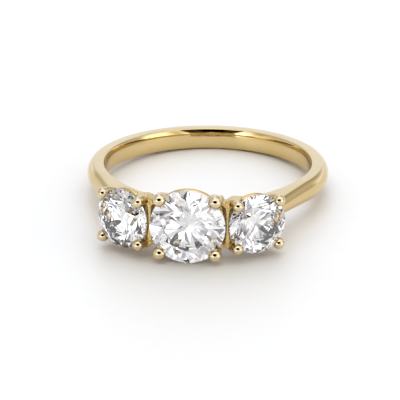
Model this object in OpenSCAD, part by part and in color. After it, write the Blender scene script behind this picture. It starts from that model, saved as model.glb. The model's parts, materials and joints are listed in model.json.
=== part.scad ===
// Three stone ring: a plain half-round band, three four-claw baskets soldered
// side by side on its front, and a round brilliant stone in each basket.
// The ring lies on its side, as a loose ring does: the finger hole points up,
// the stones face -Y, and the middle basket's stone and the back of the band
// touch the floor at z = 0. Sizes are in millimetres.

/* [Band] */
// Diameter of the finger hole
bore_d = 16.9; // [14:0.1:22]
// Metal from the finger hole to the top of the dome
band_t = 1.37; // [1.2:0.01:2.5]
// Width of the band at the back
band_w = 1.73; // [1.4:0.01:4]
// Flat side of the band, from the finger hole out to the soft ridge
band_side = 0.9; // [0.6:0.05:1.1]
// Angle from the middle stone at which the band leaves its circle
shoulder_at = 66; // [55:1:75]
// Width of the shoulder where it meets the side basket
shoulder_w = 1.1; // [0.9:0.05:2]
// Width of the band under the baskets
neck_w = 1.1; // [0.8:0.05:1.6]

/* [Stones] */
// Diameter of the middle stone
centre_d = 6.0; // [5:0.1:7]
// Diameter of each side stone
side_d = 4.8; // [4:0.1:5.4]
// Slope of the crown's main facets
crown_angle = 34.5; // [32:0.5:36]
// Slope of the pavilion's main facets
pavilion_angle = 40.75; // [40:0.25:42]
// Width of the table as a share of the stone's diameter
table_ratio = 0.57; // [0.53:0.01:0.62]
// Thickness of the girdle at the main facets
girdle_t = 0.2; // [0.16:0.02:0.3]

/* [Layout] */
// Height of the middle stone's girdle above the finger hole
centre_lift = 5.02; // [4.8:0.02:5.8]
// Tilt of each side basket away from the middle one
side_tilt = 30.9; // [24:0.1:34]
// Space between neighbouring girdles, along the row
girdle_gap = 0.29; // [0.2:0.01:0.6]
// How far a side stone's inner edge sits below the middle girdle
side_drop = 0.13; // [0:0.01:0.4]

/* [Claws] */
// Diameter of the ball on each claw of the middle basket
centre_ball_d = 1.1; // [0.9:0.05:1.3]
// Diameter of the ball on each claw of a side basket
side_ball_d = 0.95; // [0.8:0.05:1.1]
// Diameter of the middle basket's claw wires
centre_wire_d = 0.95; // [0.7:0.05:1.05]
// Diameter of a side basket's claw wires
side_wire_d = 0.85; // [0.6:0.05:0.9]
// How far a ball's centre stands outside the girdle
ball_out = 0.12; // [0.08:0.01:0.2]
// How far a ball's centre stands above the girdle
ball_up = 0.28; // [0.15:0.01:0.4]
// Clearance between a stone and the seat cut for it
seat_gap = 0.04; // [0.02:0.01:0.08]

/* [Rails] */
// Thickness of the gallery rail under each girdle
rail_t = 0.56; // [0.4:0.02:0.7]
// How far the gallery rail lies inside the girdle
rail_in = 0.07; // [0:0.01:0.3]
// Depth of the gallery rail's centre below the girdle
rail_depth = 0.75; // [0.65:0.01:0.9]
// Thickness of the base rail on the band
base_t = 0.66; // [0.5:0.02:0.9]
// Radius of the middle basket's base rail, to its centre line
centre_base_r = 1.1; // [0.9:0.05:1.9]
// Radius of a side basket's base rail, to its centre line
side_base_r = 0.9; // [0.8:0.05:1.6]

/* [Solder] */
// Diameter of the bar where two gallery rails meet
bar_d = 0.84; // [0.5:0.02:1]
// Depth of its middle below the side girdles
bar_depth = 0.75; // [0.5:0.05:1]
// Length of that bar
bar_l = 3.1; // [2:0.1:3.6]
// Width of the solder behind it, between the claws of two baskets
solder_w = 1.8; // [1.2:0.05:2]
// How far the solder reaches inside the middle girdle
solder_in = 0.7; // [0.5:0.05:0.9]
// Depth of the solder's front below the girdles
solder_depth = 0.55; // [0.4:0.05:1.2]
// Thickness of the solder along that depth
solder_t = 1.05; // [0.5:0.05:1.2]
// Width of the notch in each end of the solder
notch_w = 0.7; // [0.4:0.05:0.9]
// Depth of that notch
notch_depth = 0.34; // [0.2:0.02:0.5]

/* [Hidden] */
$fn = 64;
bore_r = bore_d / 2;
centre_r = centre_d / 2;
side_r = side_d / 2;

// The band's dome is one arc from ridge to ridge.
dome_rise = band_t - band_side;
dome_r = (pow(band_w / 2, 2) + pow(dome_rise, 2)) / (2 * dome_rise);
dome_at = bore_r + band_t - dome_r;
ridge_r = bore_r + band_side;

// The middle basket stands straight out; each side basket leans away from it.
centre_at = bore_r + centre_lift;
side_x = centre_r + girdle_gap + side_r * cos(side_tilt);
side_y = centre_at - side_drop - side_r * sin(side_tilt);

// Each base rail is centred this far from the finger axis, a little inside
// the top of the neck, so that rail and neck run into each other.
neck_t = band_t + 0.05;
seat_r = bore_r + neck_t;
centre_h = centre_at - seat_r;
side_reach = side_x * sin(side_tilt) + side_y * cos(side_tilt);
side_h = side_reach
    - sqrt(pow(side_reach, 2) - pow(side_x, 2) - pow(side_y, 2) + pow(seat_r, 2));

// A claw runs straight back as far as its knee, then leans in to the base rail.
knee_depth = 0.2;
knee_in = 0.03;
knee_swell = 1.06;

// The shoulder leaves the band along a tangent, narrows over shoulder_l and
// reaches as far as the side stone's middle. It is cut off where its end faces
// the side basket, shoulder_stop from that basket's axis.
shoulder_l = 8.5;
shoulder_root = 3.2;
shoulder_stop = side_base_r + 0.35;
shoulder_reach = norm([side_x - ridge_r * sin(shoulder_at), side_y - ridge_r * cos(shoulder_at)]);
neck_span = 44;

// The solder's ends stand a little under the side claws.
solder_under = 0.06;
solder_top = (side_r + ball_out) * sin(45) + side_wire_d / 2 - solder_under;
notch_foot = 0.16;
bar_in = 0.1;

// At rest the middle girdle and the band's back edge both touch the floor.
rest_tilt = atan((centre_r - band_w / 2) / (centre_at - girdle_t / 2 + ridge_r));
rest_z = ridge_r * sin(rest_tilt) + band_w / 2 * cos(rest_tilt);
table_r = centre_r * table_ratio;
crown_h = girdle_t / 2 + (centre_r - table_r) * tan(crown_angle);
front_y = (centre_at + crown_h) * cos(rest_tilt) + table_r * sin(rest_tilt);
back_y = dome_at * cos(rest_tilt) + dome_r;
rest_y = (front_y - back_y) / 2;

// Round brilliant: eight-fold, with its girdle drawn in short steps.
half_step = 22.5;
girdle_steps = 4;
star_ratio = 0.5;
lower_ratio = 0.77;

// Which piece to draw

// Lays the upright ring down on its side.
module at_rest() {
    translate([0, rest_y, rest_z]) rotate([-rest_tilt, 0, 0]) children();
}

// Puts a basket's frame on the middle setting: +Z out of the table.
module at_centre() {
    translate([0, -centre_at, 0]) rotate([90, 0, 0]) children();
}

// The same for a side setting; side is -1 for the left and 1 for the right.
module at_side(side) {
    translate([side * side_x, -side_y, 0])
        rotate([0, 0, side * side_tilt]) rotate([90, 0, 0]) children();
}

// Half-round section: x runs out from the finger axis, y across the band.
module half_round(width, root) {
    intersection() {
        translate([dome_at, 0]) circle(r = dome_r);
        translate([bore_r - root, -width / 2]) square([band_t + root, width]);
    }
    translate([bore_r - root, -width / 2]) square([band_side + root - 0.02, width]);
}

// The part of the band that keeps its circle, round the back.
module hoop() {
    sweep = 360 - 2 * shoulder_at;
    rotate([0, 0, shoulder_at - 90])
        rotate_extrude(angle = sweep, $fn = 192) half_round(band_w, 0.4);
}

// The right shoulder: straight from the tangent point up to its side basket,
// and narrower on both sides on the way.
module shoulder() {
    difference() {
        rotate([0, 0, shoulder_at - 90]) intersection() {
            rotate([90, 0, 0]) linear_extrude(height = shoulder_reach)
                half_round(band_w, shoulder_root);
            translate([bore_r - shoulder_root - 1, 0, 0]) rotate([90, 0, 90])
                linear_extrude(height = shoulder_root + band_t + 2) shoulder_taper();
        }
        at_side(1) translate([shoulder_stop - 20, -5, -12]) cube([20, 10, 24]);
    }
}

// Outline that narrows the shoulder, seen from outside the ring.
module shoulder_taper() {
    end = -max(shoulder_l, shoulder_reach) - 1;
    polygon([[1, -band_w / 2], [1, band_w / 2], [0, band_w / 2], [-shoulder_l, shoulder_w / 2],
        [end, shoulder_w / 2], [end, -shoulder_w / 2], [-shoulder_l, -shoulder_w / 2],
        [0, -band_w / 2]]);
}

// The narrow part of the band that carries the baskets.
module neck() {
    rotate([0, 0, -90 - neck_span])
        rotate_extrude(angle = 2 * neck_span, $fn = 192)
            translate([bore_r - 0.6, -neck_w / 2]) square([neck_t + 0.6, neck_w]);
}

// Round wire between two points of a claw's own plane, [out, up].
module wire(from, to, d) {
    run = to - from;
    translate([from[0], 0, from[1]])
        rotate([0, atan2(run[0], run[1]), 0]) cylinder(h = norm(run), d = d);
}

// One claw: a ball over the girdle and a bent wire down to the base rail.
module claw(stone_r, ball_d, wire_d, base_r, depth) {
    tip = [stone_r + ball_out, ball_up];
    knee = [stone_r + ball_out - knee_in, -knee_depth];
    foot = [base_r, -depth];
    translate([tip[0], 0, tip[1]]) sphere(d = ball_d);
    wire(tip, knee, wire_d);
    translate([knee[0], 0, knee[1]]) sphere(d = wire_d * knee_swell);
    wire(knee, foot, wire_d);
}

// Round rail about a basket's axis.
module rail(r, t, depth) {
    translate([0, 0, -depth]) rotate_extrude() translate([r, 0]) circle(d = t);
}

// Four-claw basket with a gallery rail and a base rail.
module basket(stone_r, ball_d, wire_d, base_r, depth) {
    for (i = [0:3]) rotate([0, 0, 45 + 90 * i]) claw(stone_r, ball_d, wire_d, base_r, depth);
    rail(stone_r - rail_in - rail_t / 2, rail_t, rail_depth);
    rail(base_r, base_t, depth);
}

// End of the solder seen along the baskets' depth: a level top with a notch.
function notched(up) = [for (p = [
    [0, solder_top], [solder_in - notch_w / 2 - 0.05, solder_top],
    [solder_in - notch_foot / 2 - 0.22, solder_top - notch_depth + 0.04],
    [solder_in - notch_foot / 2 - 0.06, solder_top - notch_depth],
    [solder_in + notch_w / 2 - 0.05, solder_top], [solder_w, solder_top]]) [p[0], up * p[1]]];

// Solder between the middle basket and a side one: a bar where their gallery
// rails meet, and behind it the metal that joins their claws.
module solder(side) {
    front = centre_at - side_drop - solder_depth;
    translate([side * (centre_r + girdle_gap / 2 - bar_in), -(centre_at - side_drop - bar_depth), -bar_l / 2])
        cylinder(h = bar_l, d = bar_d);
    mirror([side < 0 ? 1 : 0, 0, 0]) translate([centre_r - solder_in, solder_t - front, 0])
        rotate([90, 0, 0]) linear_extrude(height = solder_t)
            polygon(concat(notched(1), [for (i = [5:-1:0]) notched(-1)[i]]));
}

// Outline of a stone turned about its axis, grown by the seat's clearance.
module seat_cut(stone_r) {
    t_r = stone_r * table_ratio;
    s_r = star_ratio * (stone_r + t_r * cos(half_step));
    q_r = (1 - lower_ratio) * stone_r;
    g = girdle_t / 2;
    up = seat_gap / cos(crown_angle);
    down = seat_gap / cos(pavilion_angle);
    rotate_extrude() polygon([
        [0, -g - stone_r * tan(pavilion_angle) - down],
        [q_r, -g - (stone_r - q_r * cos(half_step)) * tan(pavilion_angle) - down],
        [stone_r + seat_gap, -g - seat_gap / 2],
        [stone_r + seat_gap, g + seat_gap / 2],
        [s_r, g + (stone_r - s_r * cos(half_step)) * tan(crown_angle) + up],
        [t_r, g + (stone_r - t_r) * tan(crown_angle) + up],
        [0, g + (stone_r - t_r) * tan(crown_angle) + up]]);
}

// Everything of gold, soldered into one piece.
module ring_mount() {
    color([0.88, 0.74, 0.45]) at_rest() difference() {
        union() {
            hoop();
            neck();
            shoulder();
            mirror([1, 0, 0]) shoulder();
            at_centre() basket(centre_r, centre_ball_d, centre_wire_d, centre_base_r, centre_h);
            for (side = [-1, 1]) {
                at_side(side) basket(side_r, side_ball_d, side_wire_d, side_base_r, side_h);
                solder(side);
            }
        }
        cylinder(h = 12, d = bore_d, center = true, $fn = 192);
        at_centre() seat_cut(centre_r);
        for (side = [-1, 1]) at_side(side) seat_cut(side_r);
    }
}

// Point at an angle, a radius and a height.
function polar(r, a, z) = [r * cos(a), r * sin(a), z];

// Dip of a girdle facet's edge below its two ends, so that each facet is flat.
function dip(r, slope, a) = slope * r * (cos((a % half_step) - half_step / 2) - cos(half_step / 2));

// Round brilliant with its girdle's middle at z = 0 and its table at the top.
module brilliant(r) {
    g = girdle_t / 2;
    t_r = r * table_ratio;
    s_r = star_ratio * (r + t_r * cos(half_step));
    q_r = (1 - lower_ratio) * r;
    t_z = g + (r - t_r) * tan(crown_angle);
    s_z = g + (r - s_r * cos(half_step)) * tan(crown_angle);
    q_z = -g - (r - q_r * cos(half_step)) * tan(pavilion_angle);
    upper = (s_z - g) / ((r - s_r) * cos(half_step / 2));
    lower = (-g - q_z) / ((r - q_r) * cos(half_step / 2));
    m = girdle_steps;
    n = 16 * m;
    gu = 16;
    gl = gu + n;
    q0 = gl + n;
    culet = q0 + 8;
    points = concat(
        [for (k = [0:7]) polar(t_r, 45 * k, t_z)],
        [for (k = [0:7]) polar(s_r, 45 * k + half_step, s_z)],
        [for (j = [0:n - 1]) let(a = half_step * j / m) polar(r, a, g - dip(r, upper, a))],
        [for (j = [0:n - 1]) let(a = half_step * j / m) polar(r, a, -g + dip(r, lower, a))],
        [for (k = [0:7]) polar(q_r, 45 * k + half_step, q_z)],
        [[0, 0, -g - r * tan(pavilion_angle)]]);
    facets = concat(
        [[for (k = [0:7]) k]],
        [for (k = [0:7]) [k, 8 + k, (k + 1) % 8]],
        [for (k = [0:7]) [k, 8 + (k + 7) % 8, gu + 2 * m * k, 8 + k]],
        [for (h = [0:15]) concat([8 + floor(h / 2)],
            [for (j = [0:m]) gu + (h * m + j) % n])],
        [for (j = [0:n - 1]) [gu + j, gl + j, gl + (j + 1) % n, gu + (j + 1) % n]],
        [for (h = [0:15]) concat([q0 + floor(h / 2)],
            [for (j = [m:-1:0]) gl + (h * m + j) % n])],
        [for (k = [0:7]) [culet, q0 + k, gl + 2 * m * k, q0 + (k + 7) % 8]]);
    polyhedron(points, [for (f = facets) [for (i = [len(f) - 1:-1:0]) f[i]]]);
}

module centre_stone() {
    color([0.93, 0.95, 0.98]) at_rest() at_centre() brilliant(centre_r);
}

module left_stone() {
    color([0.93, 0.95, 0.98]) at_rest() at_side(-1) brilliant(side_r);
}

module right_stone() {
    color([0.93, 0.95, 0.98]) at_rest() at_side(1) brilliant(side_r);
}

ring_mount();
centre_stone();
left_stone();
right_stone();
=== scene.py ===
"""Three stone ring in yellow gold, lying on its side on a pale floor.

The ring is modelled in a frame of its own, in millimetres: the finger axis is Z
and the stones face -Y. LAY_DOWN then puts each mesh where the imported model
lies, in metres.
"""

import json
import math

import bmesh
import bpy
from mathutils import Matrix, Quaternion, Vector
from mathutils.geometry import interpolate_bezier


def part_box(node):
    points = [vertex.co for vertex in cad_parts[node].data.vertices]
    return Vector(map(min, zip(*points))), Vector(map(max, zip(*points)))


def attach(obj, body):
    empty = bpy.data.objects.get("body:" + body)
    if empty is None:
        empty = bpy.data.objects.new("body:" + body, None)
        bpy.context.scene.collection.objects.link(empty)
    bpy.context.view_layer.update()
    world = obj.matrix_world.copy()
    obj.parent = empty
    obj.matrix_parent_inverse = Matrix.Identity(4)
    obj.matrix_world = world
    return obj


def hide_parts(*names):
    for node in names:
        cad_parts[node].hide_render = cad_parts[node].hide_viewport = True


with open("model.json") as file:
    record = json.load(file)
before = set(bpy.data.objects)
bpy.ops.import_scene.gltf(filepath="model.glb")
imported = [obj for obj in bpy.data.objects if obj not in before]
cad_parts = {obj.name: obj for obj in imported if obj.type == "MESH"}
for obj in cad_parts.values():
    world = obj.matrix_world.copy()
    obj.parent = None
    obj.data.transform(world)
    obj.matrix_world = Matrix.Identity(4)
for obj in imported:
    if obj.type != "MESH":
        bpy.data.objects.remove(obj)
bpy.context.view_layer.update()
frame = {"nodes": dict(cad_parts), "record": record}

MM = 0.001
TURN = 2 * math.pi
Y, Z = Vector((0, 1, 0)), Vector((0, 0, 1))
FINGER_HOLE = frame["record"]["mounts"][0]

# Driving sizes, in millimetres and radians. BAND_T is a hair less than in the
# part, so that the smooth dome stays inside the part's box. SHOULDER_END is
# where the band's mesh stops, and SHOULDER_W is how wide the shoulder is there.
BORE_R = FINGER_HOLE["dims"]["r_mm"]
BAND_T = 1.364
BAND_W = 1.73
BAND_SIDE = 0.9
SHOULDER_AT = math.radians(66)
SHOULDER_END = math.radians(28.7)
SHOULDER_W = 1.2
NECK_W = 1.1
NECK_T = BAND_T + 0.05
NECK_SPAN = math.radians(44)
CENTRE_R = (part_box("centre_stone")[1].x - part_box("centre_stone")[0].x) / 2 / MM
SIDE_R = 2.4
CENTRE_LIFT = 5.02
SIDE_TILT = math.radians(30.9)
GIRDLE_GAP = 0.29
SIDE_DROP = 0.13

# How the stones are cut.
GIRDLE_T = 0.2
TABLE_SHARE = 0.57
CROWN_ANGLE = math.radians(34.5)
PAVILION_ANGLE = math.radians(40.75)

# Where the three stones sit in the ring's own frame.
CENTRE_AT = BORE_R + CENTRE_LIFT
SIDE_X = CENTRE_R + GIRDLE_GAP + SIDE_R * math.cos(SIDE_TILT)
SIDE_Y = CENTRE_AT - SIDE_DROP - SIDE_R * math.sin(SIDE_TILT)

LAY_DOWN = (
    Matrix.Translation(FINGER_HOLE["pos_m"])
    @ Z.rotation_difference(Vector(FINGER_HOLE["axis"])).to_matrix().to_4x4()
    @ Matrix.Scale(MM, 4)
)


def setting(x, y, tilt):
    """Frame of a basket: +Z out through the stone's table, zero at the girdle."""
    at = Matrix.Translation((x, -y, 0))
    return at @ Matrix.Rotation(tilt, 4, "Z") @ Matrix.Rotation(math.pi / 2, 4, "X")


SETTINGS = {
    "left": setting(-SIDE_X, SIDE_Y, -SIDE_TILT),
    "centre": setting(0, CENTRE_AT, 0),
    "right": setting(SIDE_X, SIDE_Y, SIDE_TILT),
}


# Mesh and object helpers

def mesh_from(bm, name):
    """Turns a finished bmesh into a mesh."""
    mesh = bpy.data.meshes.new(name)
    bm.to_mesh(mesh)
    bm.free()
    return mesh


def object_from(data, name):
    """Puts a mesh, a camera or a light in the scene."""
    made = bpy.data.objects.new(name, data)
    bpy.context.scene.collection.objects.link(made)
    return made


def new_piece(bm, name, finish, sharp=35):
    """Lays a finished mesh down in the frame and makes it a piece of the ring."""
    bmesh.ops.transform(bm, matrix=LAY_DOWN, verts=bm.verts)
    bmesh.ops.recalc_face_normals(bm, faces=bm.faces)
    mesh = mesh_from(bm, name)
    mesh.shade_smooth()
    mesh.set_sharp_from_angle(angle=math.radians(sharp))
    mesh.materials.append(finish)
    piece = object_from(mesh, name)
    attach(piece, "root")
    return piece


def add(bm, part, matrix=None):
    """Adds another mesh's parts to bm."""
    if matrix:
        bmesh.ops.transform(part, matrix=matrix, verts=part.verts)
    mesh = mesh_from(part, "part")
    bm.from_mesh(mesh)
    bpy.data.meshes.remove(mesh)


def modified(bm, *steps):
    """Runs modifiers on a mesh and gives back the result."""
    mesh = mesh_from(bm, "step")
    holder = object_from(mesh, "step")
    for kind, settings in steps:
        step = holder.modifiers.new(kind.lower(), kind)
        for key, value in settings.items():
            setattr(step, key, value)
    evaluated = holder.evaluated_get(bpy.context.evaluated_depsgraph_get())
    done = bpy.data.meshes.new_from_object(evaluated)
    bpy.data.objects.remove(holder)
    bpy.data.meshes.remove(mesh)
    out = bmesh.new()
    out.from_mesh(done)
    bpy.data.meshes.remove(done)
    return out


def loop_of(bm, points):
    """Closed loop of edges through points, in the XZ plane."""
    verts = [bm.verts.new((p[0], 0, p[1])) for p in points]
    return [bm.edges.new((a, b)) for a, b in zip(verts, verts[1:] + verts[:1])]


def round_corners(bm, corners, size, segments):
    """Rounds corners of a flat section."""
    bmesh.ops.bevel(bm, geom=corners, offset=size, segments=segments, profile=0.5,
                    affect="VERTICES", material=-1)


def sweep_section(bm, start, angle, steps):
    """Sweeps a flat section through angle about the finger axis, from start on."""
    bmesh.ops.delete(bm, geom=bm.faces[:], context="FACES_ONLY")
    bmesh.ops.transform(bm, matrix=Matrix.Rotation(start, 4, "Z"), verts=bm.verts)
    bmesh.ops.spin(bm, geom=bm.verts[:] + bm.edges[:], cent=(0, 0, 0), axis=Z,
                   angle=angle, steps=steps)


def close_ends(bm):
    """Closes the open ends of a swept section."""
    bmesh.ops.holes_fill(bm, edges=[e for e in bm.edges if e.is_boundary], sides=0)


# Band and neck

# The finger hole's wall is a shallow crown, and HOLE_RIM is how far its two ends
# stand back from the bore. HOLE_EDGE, RIDGE_EDGE and NECK_EDGE are the sizes of
# rounded edges.
HOLE_RIM = 0.03
HOLE_CROWN_R = 2.7
HOLE_EDGE = 0.08
HOLE_EDGE_STEPS = 6
WALL_STEPS = 8
RIDGE_EDGE = 0.07
RIDGE_EDGE_STEPS = 3
DOME_STEPS = 14
HOOP_STEPS = 108

# How close two points are that count as one, in the section and in the hoop.
SECTION_TOUCH = 1e-5
HOOP_TOUCH = 1e-4

NECK_INSET = 0.005
NECK_EDGE = 0.09
NECK_EDGE_STEPS = 4
NECK_STEPS = 64


def band_section(bm):
    """Half-round section of the band: X out from the finger axis, Z across."""
    half, rise = BAND_W / 2, BAND_T - BAND_SIDE
    dome_r = (half ** 2 + rise ** 2) / (2 * rise)
    dome_at = Vector((BORE_R + BAND_T - dome_r, 0, 0))
    first = bm.verts.new((BORE_R + BAND_SIDE, 0, half))
    bmesh.ops.spin(bm, geom=[first], cent=dome_at, axis=Y,
                   angle=2 * math.asin(half / dome_r), steps=DOME_STEPS)
    arc = sorted(bm.verts, key=lambda v: -v.co.z)
    low = bm.verts.new((BORE_R + HOLE_RIM, 0, -half))
    crown_at = Vector((BORE_R + HOLE_RIM + math.sqrt(HOLE_CROWN_R ** 2 - half ** 2), 0, 0))
    wall = bmesh.ops.spin(bm, geom=[low], cent=crown_at, axis=Y,
                          angle=2 * math.asin(half / HOLE_CROWN_R), steps=WALL_STEPS)
    high = wall["geom_last"][0]
    bm.edges.new((arc[-1], low))
    bm.edges.new((high, arc[0]))
    bmesh.ops.contextual_create(bm, geom=bm.edges[:])
    round_corners(bm, [low, high], HOLE_EDGE, HOLE_EDGE_STEPS)
    sides = [v for v in bm.verts if abs(abs(v.co.z) - half) < SECTION_TOUCH]
    ridges = [v for v in sides if v.co.x > BORE_R + BAND_SIDE - SECTION_TOUCH]
    round_corners(bm, ridges, RIDGE_EDGE, RIDGE_EDGE_STEPS)


def shoulder_swell(v):
    """Moves a point of the plain hoop out onto the straight shoulder and narrows it."""
    angle = math.atan2(abs(v.co.x), -v.co.y)
    if angle >= SHOULDER_AT:
        return
    r = math.hypot(v.co.x, v.co.y)
    up = min(1, max(0, (r - BORE_R) / BAND_SIDE))
    past = SHOULDER_AT - angle
    grow = 1 + up * (1 / math.cos(past) - 1)
    v.co.x *= grow
    v.co.y *= grow
    share = math.tan(past) / math.tan(SHOULDER_AT - SHOULDER_END)
    v.co.z *= 1 + (SHOULDER_W / BAND_W - 1) * share


def make_band(gold):
    """Hoop and both shoulders in one mesh, closed where the baskets begin."""
    bm = bmesh.new()
    band_section(bm)
    sweep_section(bm, SHOULDER_END - math.pi / 2, math.pi - SHOULDER_END, HOOP_STEPS)
    for v in bm.verts:
        shoulder_swell(v)
    bmesh.ops.mirror(bm, geom=bm.verts[:] + bm.edges[:] + bm.faces[:],
                     merge_dist=HOOP_TOUCH, axis="X")
    bmesh.ops.remove_doubles(bm, verts=bm.verts, dist=HOOP_TOUCH)
    close_ends(bm)
    return new_piece(bm, "band", gold)


def make_neck(gold):
    """Narrow part of the band that runs behind the baskets."""
    bm = bmesh.new()
    half = NECK_W / 2
    inner, outer = BORE_R + NECK_INSET, BORE_R + NECK_T
    edges = loop_of(bm, [(inner, -half), (outer, -half), (outer, half), (inner, half)])
    face = bmesh.ops.contextual_create(bm, geom=edges)["faces"][0]
    round_corners(bm, list(face.verts), NECK_EDGE, NECK_EDGE_STEPS)
    sweep_section(bm, -math.pi / 2 - NECK_SPAN, 2 * NECK_SPAN, NECK_STEPS)
    close_ends(bm)
    return new_piece(bm, "neck", gold)


# Baskets

# Sizes of the middle basket, then of a side one: the radii of the stone, the
# balls, the wires and the base rail, and how deep that rail lies.
BASKETS = {
    "centre": dict(stone=CENTRE_R, ball=0.55, wire=0.475, base=1.1,
                   depth=CENTRE_AT - BORE_R - NECK_T),
    "side": dict(stone=SIDE_R, ball=0.475, wire=0.425, base=0.9, depth=3.33),
}

# A claw runs from its ball back to a knee, then curves in to the base rail. The
# curve's first handle lies KNEE_REACH straight back from the knee, and its other
# one at FOOT_SHARE of the way to the rail.
BALL_OUT = 0.12
BALL_UP = 0.28
KNEE_IN = 0.03
KNEE_DEPTH = 0.2
KNEE_REACH = 0.3
FOOT_SHARE = 0.3
CLAW_STEPS = 16
RAIL_T = 0.56
RAIL_IN = 0.07
RAIL_DEPTH = 0.75
BASE_T = 0.66
QUARTERS = [Matrix.Rotation(math.radians(45 + 90 * quarter), 4, "Z") for quarter in range(4)]

# Solder between neighbouring baskets, seen along their depth: how far from the
# middle of the ring, and how far up, for each corner of its notched end. Its
# front, its back and the bar's BAR_AT are counted back from the edge of the side
# girdle that is next to the centre stone.
SOLDER_OUTLINE = [(2.3, 2.15), (2.6, 2.15), (2.7, 1.85), (2.86, 1.81), (3.3, 2.15), (4.1, 2.15)]
SOLDER_FRONT = 0.55
SOLDER_BACK = 1.6
BAR_X = 3.05
BAR_AT = 0.75
BAR_R = 0.42
BAR_HALF = 1.55

# Wires and solder run together in a remesh of this grain, which is then smoothed.
SOLDER_GRAIN = 0.05
SOLDER_PASSES = 8
SOLDER_EASE = 0.5

WIRE_SIDES = 28
RAIL_SIDES = 24
RAIL_STEPS = 96
BALL_SIDES = 48
BALL_RINGS = 28
SEAT_GAP = 0.015
SEAT_STEPS = 64
SEAT_TOUCH = 1e-5
BASKET_SHARP = 40


def tube(bm, path, radius):
    """Round wire along path."""
    loops = []
    for i, at in enumerate(path):
        along = (path[min(i + 1, len(path) - 1)] - path[max(i - 1, 0)]).normalized()
        matrix = Matrix.Translation(at) @ Z.rotation_difference(along).to_matrix().to_4x4()
        ring = bmesh.ops.create_circle(bm, segments=WIRE_SIDES, radius=radius, matrix=matrix,
                                       cap_ends=False)
        loops.append(list({e for v in ring["verts"] for e in v.link_edges}))
    for a, b in zip(loops, loops[1:]):
        bmesh.ops.bridge_loops(bm, edges=a + b)
    bmesh.ops.holes_fill(bm, edges=loops[0] + loops[-1], sides=0)


def ring_rail(bm, radius, thick, depth):
    """Round rail about a basket's axis."""
    part = bmesh.new()
    at = Matrix.Translation((radius, 0, -depth)) @ Matrix.Rotation(math.pi / 2, 4, "X")
    bmesh.ops.create_circle(part, segments=RAIL_SIDES, radius=thick / 2, matrix=at)
    bmesh.ops.spin(part, geom=part.verts[:] + part.edges[:], cent=(0, 0, 0), axis=Z,
                   angle=TURN, steps=RAIL_STEPS, use_merge=True)
    add(bm, part)


def basket_wires(size):
    """Four claws, a gallery rail and a base rail, in a basket's own frame."""
    bm = bmesh.new()
    out = size["stone"] + BALL_OUT
    tip = Vector((out, 0, BALL_UP))
    knee = Vector((out - KNEE_IN, 0, -KNEE_DEPTH))
    foot = Vector((size["base"], 0, -size["depth"]))
    run = interpolate_bezier(knee, knee - Z * KNEE_REACH, knee.lerp(foot, FOOT_SHARE), foot,
                             CLAW_STEPS)
    for quarter in QUARTERS:
        claw = bmesh.new()
        tube(claw, [tip, tip.lerp(knee, 0.5)] + run, size["wire"])
        add(bm, claw, quarter)
    ring_rail(bm, size["stone"] - RAIL_IN - RAIL_T / 2, RAIL_T, RAIL_DEPTH)
    ring_rail(bm, size["base"], BASE_T, size["depth"])
    return bm


def solder(side):
    """Metal that joins the claws of two neighbouring baskets, with the bar at its front."""
    bm = bmesh.new()
    front = -(CENTRE_AT - SIDE_DROP - SOLDER_FRONT)
    top = [(side * x, z) for x, z in SOLDER_OUTLINE]
    edges = loop_of(bm, top + [(x, -z) for x, z in reversed(top)])
    face = bmesh.ops.contextual_create(bm, geom=edges)["faces"][0]
    made = bmesh.ops.extrude_face_region(bm, geom=[face])["geom"]
    back = [v for v in made if isinstance(v, bmesh.types.BMVert)]
    bmesh.ops.translate(bm, verts=back, vec=Y * (SOLDER_BACK - SOLDER_FRONT))
    bmesh.ops.translate(bm, verts=bm.verts, vec=Y * front)
    bmesh.ops.recalc_face_normals(bm, faces=bm.faces)
    bar = bmesh.new()
    at = Vector((side * BAR_X, -(CENTRE_AT - SIDE_DROP - BAR_AT), 0))
    tube(bar, [at - Z * BAR_HALF, at, at + Z * BAR_HALF], BAR_R)
    add(bm, bar)
    return bm


def seat_cutters():
    """Plain bodies of the three stones, a little larger, to cut their seats."""
    bm = bmesh.new()
    for name, place in SETTINGS.items():
        r = (CENTRE_R if name == "centre" else SIDE_R) + SEAT_GAP
        half_girdle = GIRDLE_T / 2
        table = r * TABLE_SHARE
        crown = half_girdle + (r - table) * math.tan(CROWN_ANGLE)
        pavilion = half_girdle + r * math.tan(PAVILION_ANGLE)
        profile = [(0, crown), (table, crown), (r, half_girdle), (r, -half_girdle), (0, -pavilion)]
        part = bmesh.new()
        verts = [part.verts.new((x, 0, z)) for x, z in profile]
        edges = [part.edges.new(pair) for pair in zip(verts, verts[1:])]
        bmesh.ops.spin(part, geom=verts + edges, cent=(0, 0, 0), axis=Z,
                       angle=TURN, steps=SEAT_STEPS, use_merge=True)
        bmesh.ops.remove_doubles(part, verts=part.verts, dist=SEAT_TOUCH)
        bmesh.ops.recalc_face_normals(part, faces=part.faces)
        add(bm, part, place)
    return object_from(mesh_from(bm, "seats"), "seats")


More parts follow.
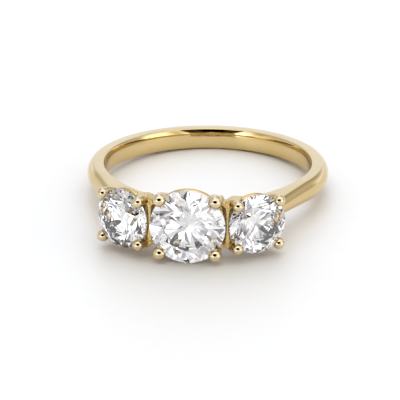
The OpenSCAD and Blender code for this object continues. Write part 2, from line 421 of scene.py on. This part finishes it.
def make_baskets(gold, ball_gold):
    """The three baskets, run together with solder, and the balls that hold the stones."""
    wires, balls = bmesh.new(), bmesh.new()
    for name, place in SETTINGS.items():
        size = BASKETS["centre" if name == "centre" else "side"]
        add(wires, basket_wires(size), place)
        tip = Matrix.Translation((size["stone"] + BALL_OUT, 0, BALL_UP))
        for quarter in QUARTERS:
            bmesh.ops.create_uvsphere(balls, u_segments=BALL_SIDES, v_segments=BALL_RINGS,
                                      radius=size["ball"], matrix=place @ quarter @ tip)
    for side in (-1, 1):
        add(wires, solder(side))
    cutter = seat_cutters()
    run_together = ("REMESH", {"mode": "VOXEL", "voxel_size": SOLDER_GRAIN})
    ease = ("SMOOTH", {"iterations": SOLDER_PASSES, "factor": SOLDER_EASE})
    cut = ("BOOLEAN", {"operation": "DIFFERENCE", "solver": "EXACT", "object": cutter})
    wires = modified(wires, run_together, ease, cut)
    balls = modified(balls, cut)
    bpy.data.meshes.remove(cutter.data)
    return [new_piece(wires, "baskets", gold, sharp=BASKET_SHARP),
            new_piece(balls, "claw_balls", ball_gold, sharp=BASKET_SHARP)]


# Shader helpers

class Wire:
    """A socket of a shader network that takes part in Python arithmetic."""

    def __init__(self, net, socket):
        self.net, self.socket = net, socket

    def _math(self, kind, *terms):
        return self.net.node("ShaderNodeMath", {"operation": kind}, dict(enumerate(terms)))

    def __add__(self, other):
        return self._math("ADD", self, other)

    def __radd__(self, other):
        return self._math("ADD", other, self)

    def __sub__(self, other):
        return self._math("SUBTRACT", self, other)

    def __rsub__(self, other):
        return self._math("SUBTRACT", other, self)

    def __mul__(self, other):
        return self._math("MULTIPLY", self, other)

    def __rmul__(self, other):
        return self._math("MULTIPLY", other, self)

    def __abs__(self):
        return self._math("ABSOLUTE", self)

    def over(self, low, high):
        """0 below low, 1 above high, smooth between."""
        return self.net.node("ShaderNodeMapRange", {"interpolation_type": "SMOOTHSTEP"},
                             {"Value": self, "From Min": low, "From Max": high})


class Net:
    """Node network of a material or of the world."""

    def __init__(self, owner):
        owner.use_nodes = True
        self.tree = owner.node_tree
        self.tree.nodes.clear()

    def node(self, kind, settings=None, inputs=None, out=0):
        """Adds a node, with its settings and its sockets' values or links, and gives its output."""
        made = self.tree.nodes.new(kind)
        for key, value in (settings or {}).items():
            setattr(made, key, value)
        for key, value in (inputs or {}).items():
            if isinstance(value, Wire):
                self.tree.links.new(value.socket, made.inputs[key])
            else:
                made.inputs[key].default_value = value
        return Wire(self, made.outputs[out]) if made.outputs else None

    def mix(self, factor, a, b):
        """Colour a where factor is 0 and b where it is 1."""
        return self.node("ShaderNodeMix", {"data_type": "RGBA"}, {0: factor, 6: a, 7: b}, out=2)

    def dot(self, a, b):
        """Dot product of two vectors."""
        return self.node("ShaderNodeVectorMath", {"operation": "DOT_PRODUCT"}, {0: a, 1: b},
                         out="Value")

    def place(self):
        """Object coordinates, in metres."""
        return self.node("ShaderNodeTexCoord", out="Object")

    def noise(self, where, scale, detail=2.0):
        """Soft noise between 0 and 1."""
        return self.node("ShaderNodeTexNoise", None,
                         {"Vector": where, "Scale": scale, "Detail": detail})


def rgba(r, g, b):
    """Opaque colour."""
    return (r, g, b, 1.0)


# Materials

GOLD = rgba(0.74, 0.57, 0.283)
GOLD_DEEP = rgba(0.71, 0.535, 0.248)
# The balls' gold is paler than the band's: a painted highlight, standing for the whiter highlights
# on the balls.
BALL_GOLD = rgba(0.76, 0.63, 0.41)
BALL_GOLD_DEEP = rgba(0.72, 0.59, 0.37)
CAST_GOLD = rgba(0.74, 0.56, 0.27)
CAST_GOLD_DEEP = rgba(0.68, 0.48, 0.2)
CLOUD_EDGES = (0.3, 0.7)
SWIRL_DEPTH = 0.02 * MM

STONE_CLEAR = rgba(1.0, 1.0, 1.0)
STONE_COOL = rgba(0.985, 0.99, 1.0)
STONE_IOR = 2.417
GROUND_BLUR = 0.01
GROUND_EDGES = ((GIRDLE_T / 2 - GROUND_BLUR) * MM, (GIRDLE_T / 2 + GROUND_BLUR) * MM)
GROUND_ROUGH = 0.12

PAPER = rgba(0.785, 0.745, 0.675)
PAPER_LIGHT = rgba(0.805, 0.765, 0.695)
PAPER_ROUGH = 0.42


def gold_metal(name, light, deep, cloud_scale, rough, swirl_scale, swirl_rough, swirl_height):
    """Yellow gold whose tone drifts in clouds, under faint swirls from its polishing."""
    mat = bpy.data.materials.new(name)
    net = Net(mat)
    where = net.place()
    clouds = net.noise(where, cloud_scale, detail=3.0).over(*CLOUD_EDGES)
    swirl = net.noise(where, swirl_scale)
    bump = net.node("ShaderNodeBump", None,
                    {"Strength": swirl_height, "Distance": SWIRL_DEPTH, "Height": swirl})
    shader = net.node("ShaderNodeBsdfPrincipled", None, {
        "Base Color": net.mix(clouds, light, deep), "Metallic": 1.0,
        "Roughness": rough + swirl * swirl_rough, "Normal": bump})
    net.node("ShaderNodeOutputMaterial", None, {"Surface": shader})
    return mat


def polished_gold():
    return gold_metal("polished_gold", GOLD, GOLD_DEEP, cloud_scale=260.0, rough=0.04,
                      swirl_scale=2600.0, swirl_rough=0.06, swirl_height=0.05)


# Burnished, so very low roughness; its paler colour is a painted highlight.
def burnished_gold():
    return gold_metal("burnished_gold", BALL_GOLD, BALL_GOLD_DEEP, cloud_scale=500.0, rough=0.01,
                      swirl_scale=3600.0, swirl_rough=0.03, swirl_height=0.02)


def cast_gold():
    return gold_metal("cast_gold", CAST_GOLD, CAST_GOLD_DEEP, cloud_scale=900.0, rough=0.2,
                      swirl_scale=5200.0, swirl_rough=0.16, swirl_height=0.3)


def cut_stone(name, place):
    """Clear colourless stone with polished facets and a fine-ground girdle."""
    mat = bpy.data.materials.new(f"{name}_clear_stone")
    net = Net(mat)
    where = net.place()
    lies = LAY_DOWN @ place
    axis = (lies.to_3x3() @ Z).normalized()
    from_centre = net.node("ShaderNodeVectorMath", {"operation": "SUBTRACT"},
                           {0: where, 1: lies.translation})
    ground = 1 - abs(net.dot(from_centre, axis)).over(*GROUND_EDGES)
    colour = net.mix(net.noise(where, scale=700.0), STONE_CLEAR, STONE_COOL)
    shader = net.node("ShaderNodeBsdfPrincipled", None, {
        "Base Color": colour, "Roughness": ground * GROUND_ROUGH, "IOR": STONE_IOR,
        "Transmission Weight": 1.0})
    net.node("ShaderNodeOutputMaterial", None, {"Surface": shader})
    return mat


def floor_paper():
    """Plain white paper sweep."""
    mat = bpy.data.materials.new("floor_paper")
    net = Net(mat)
    colour = net.mix(net.noise(net.place(), scale=900.0), PAPER, PAPER_LIGHT)
    shader = net.node("ShaderNodeBsdfPrincipled", None,
                      {"Base Color": colour, "Roughness": PAPER_ROUGH})
    net.node("ShaderNodeOutputMaterial", None, {"Surface": shader})
    return mat


# Camera, floor and light

# The photograph's camera, solved from points measured on the ring. Its place is
# counted from the middle of the finger hole. Its focal length and the picture's
# side are in pixels.
CAMERA_TURN = math.radians(7.103)
CAMERA_RISE = math.radians(24.703)
CAMERA_ROLL = math.radians(0.542)
CAMERA_FAR = 341.9 * MM
CAMERA_RIGHT = -0.66 * MM
CAMERA_UP = -2.324 * MM
FOCUS_PIXELS = 4194.11
PICTURE = 400

# Half the floor's side, in metres.
FLOOR_HALF = 1.5

# Soft patches in the light tent: how far to the right of the stones' side and
# how high their middle is, the angles where they end and begin to fade, all in
# degrees, and how much brighter or darker they make the tent.
TENT_LIGHT = 1.315
TENT_PATCHES = {
    "window": (-4, 27, 45, 33, 0.9),
    "low_left": (-36, -5, 24, 14, 0.5),
    "low_right": (64, -3, 26, 14, 0.8),
    "left_frame": (-48, 20, 18, 9, -0.42),
    "right_frame": (38, 12, 20, 10, -0.3),
    "overhead": (10, 74, 22, 8, 0.2),
    "right_wall": (108, 6, 30, 16, -0.5),
    "right_corner": (150, 34, 33, 6, -0.6),
    "left_wall": (-100, 30, 52, 30, -0.42),
    "left_corner": (-145, 25, 28, 10, -0.25),
    "backdrop": (180, 12, 40, 12, -0.15),
    "viewer_left": (-8, 31, 27, 24, -0.98),
    "viewer_right": (11, 31, 28, 25, -0.98),
}

# Where the tent is dim its light is a little warmer, and behind the ring it is cooler.
DIM_TINT = rgba(1.0, 0.96, 0.90)
DIM_EDGES = (0.4, 1.2)
FRONT_TINT = rgba(1.0, 1.0, 1.0)
BACK_TINT = rgba(0.93, 1.01, 1.23)
BACK_EDGES = (-0.2, 0.6)

# What rays that leave through a stone see instead: patches of their own, broken
# up by a sparkle in the tints of a diamond's fire.
STONE_LIGHT = 1.0
STONE_PATCHES = {
    "left_window": (-24, 14, 36, 16, 1.4),
    "right_window": (40, 8, 28, 10, 0.4),
    "viewer": (20, 30, 28, 10, -0.65),
    "top": (0, 90, 60, 10, 0.2),
}
SPARKLE_SCALE = 7.0
SPARKLE_EDGES = (0.3, 0.52)
SPARKLE_LOW = 0.3
SPARKLE_GAIN = 0.8
FIRE_EDGES = (0.35, 0.65)
FIRE_COOL = rgba(0.90, 0.95, 1.04)
FIRE_WARM = rgba(1.07, 0.98, 0.95)

FLOOD_POWER = 1.5
FLOOD_TINT = (0.83, 0.97, 1.2)
FLOOD_SPREAD = math.radians(80)
FLOOD_FROM = Vector((-0.15, 0.8, 1.0))


def towards(turn, rise):
    """Direction turned to the right of the stones' side and raised from the floor."""
    level = math.cos(rise)
    return Vector((math.sin(turn) * level, -math.cos(turn) * level, math.sin(rise)))


def make_camera():
    """Camera at the photograph's angle and distance."""
    back = towards(CAMERA_TURN, CAMERA_RISE)
    right = Vector((math.cos(CAMERA_TURN), math.sin(CAMERA_TURN), 0))
    up = back.cross(right)
    data = bpy.data.cameras.new("camera")
    data.sensor_width = 36
    data.lens = FOCUS_PIXELS * data.sensor_width / PICTURE
    data.clip_start = 0.01
    data.clip_end = 10
    camera = object_from(data, "camera")
    camera.location = (Vector(FINGER_HOLE["pos_m"]) + right * CAMERA_RIGHT + up * CAMERA_UP
                       + back * CAMERA_FAR)
    camera.rotation_mode = "QUATERNION"
    camera.rotation_quaternion = (-back).to_track_quat("-Z", "Y") @ Quaternion(Z, -CAMERA_ROLL)
    bpy.context.scene.camera = camera


def make_floor():
    """Flat floor of white paper."""
    bm = bmesh.new()
    bmesh.ops.create_grid(bm, x_segments=1, y_segments=1, size=FLOOR_HALF)
    mesh = mesh_from(bm, "floor")
    mesh.materials.append(floor_paper())
    floor = object_from(mesh, "floor")


def patched(net, aim, light, patches):
    """Brightness towards aim, of an even light with soft patches."""
    for turn, rise, end, start, change in patches.values():
        near = net.dot(aim, towards(math.radians(turn), math.radians(rise)))
        patch = near.over(math.cos(math.radians(end)), math.cos(math.radians(start)))
        light = light * (1 + change * patch)
    return light


def light_tent():
    """White tent of soft patches, with the viewer's dark shape in it and a light for the stones."""
    world = bpy.data.worlds.new("light_tent")
    bpy.context.scene.world = world
    net = Net(world)
    aim = net.node("ShaderNodeTexCoord", out="Generated")
    in_metal = patched(net, aim, TENT_LIGHT, TENT_PATCHES)
    in_stone = patched(net, aim, STONE_LIGHT, STONE_PATCHES)
    sparkle = net.noise(aim, SPARKLE_SCALE, detail=1.0).over(*SPARKLE_EDGES)
    in_stone = in_stone * (SPARKLE_LOW + sparkle * SPARKLE_GAIN)
    flashes = net.noise(aim, SPARKLE_SCALE, detail=0.0).over(*FIRE_EDGES)
    fire = net.mix(flashes, FIRE_COOL, FIRE_WARM)
    through = net.node("ShaderNodeLightPath", out="Is Transmission Ray")
    light = in_metal + (in_stone - in_metal) * through
    white = net.mix(net.dot(aim, Y).over(*BACK_EDGES), FRONT_TINT, BACK_TINT)
    metal_tint = net.mix(in_metal.over(*DIM_EDGES), DIM_TINT, white)
    tint = net.mix(through, metal_tint, fire)
    shader = net.node("ShaderNodeBackground", None, {"Color": tint, "Strength": light})
    net.node("ShaderNodeOutputWorld", None, {"Surface": shader})


def flood_light():
    """Wide soft light from above that whitens the paper and doesn't show in the gold."""
    data = bpy.data.lights.new("flood", "SUN")
    data.energy = FLOOD_POWER
    data.color = FLOOD_TINT
    data.angle = FLOOD_SPREAD
    lamp = object_from(data, "flood")
    lamp.rotation_mode = "QUATERNION"
    lamp.rotation_quaternion = FLOOD_FROM.to_track_quat("Z", "Y")
    lamp.visible_glossy = False
    lamp.visible_transmission = False


# The ring and its scene

gold = polished_gold()
gold_pieces = [make_band(gold), make_neck(gold)] + make_baskets(cast_gold(), burnished_gold())
for piece in gold_pieces:
    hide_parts("ring_mount")
for name, place in SETTINGS.items():
    node = frame["nodes"][f"{name}_stone"]
    node.data.materials.clear()
    node.data.materials.append(cut_stone(name, place))

make_floor()
make_camera()
light_tent()
flood_light()
bpy.context.scene.view_settings.view_transform = "Standard"
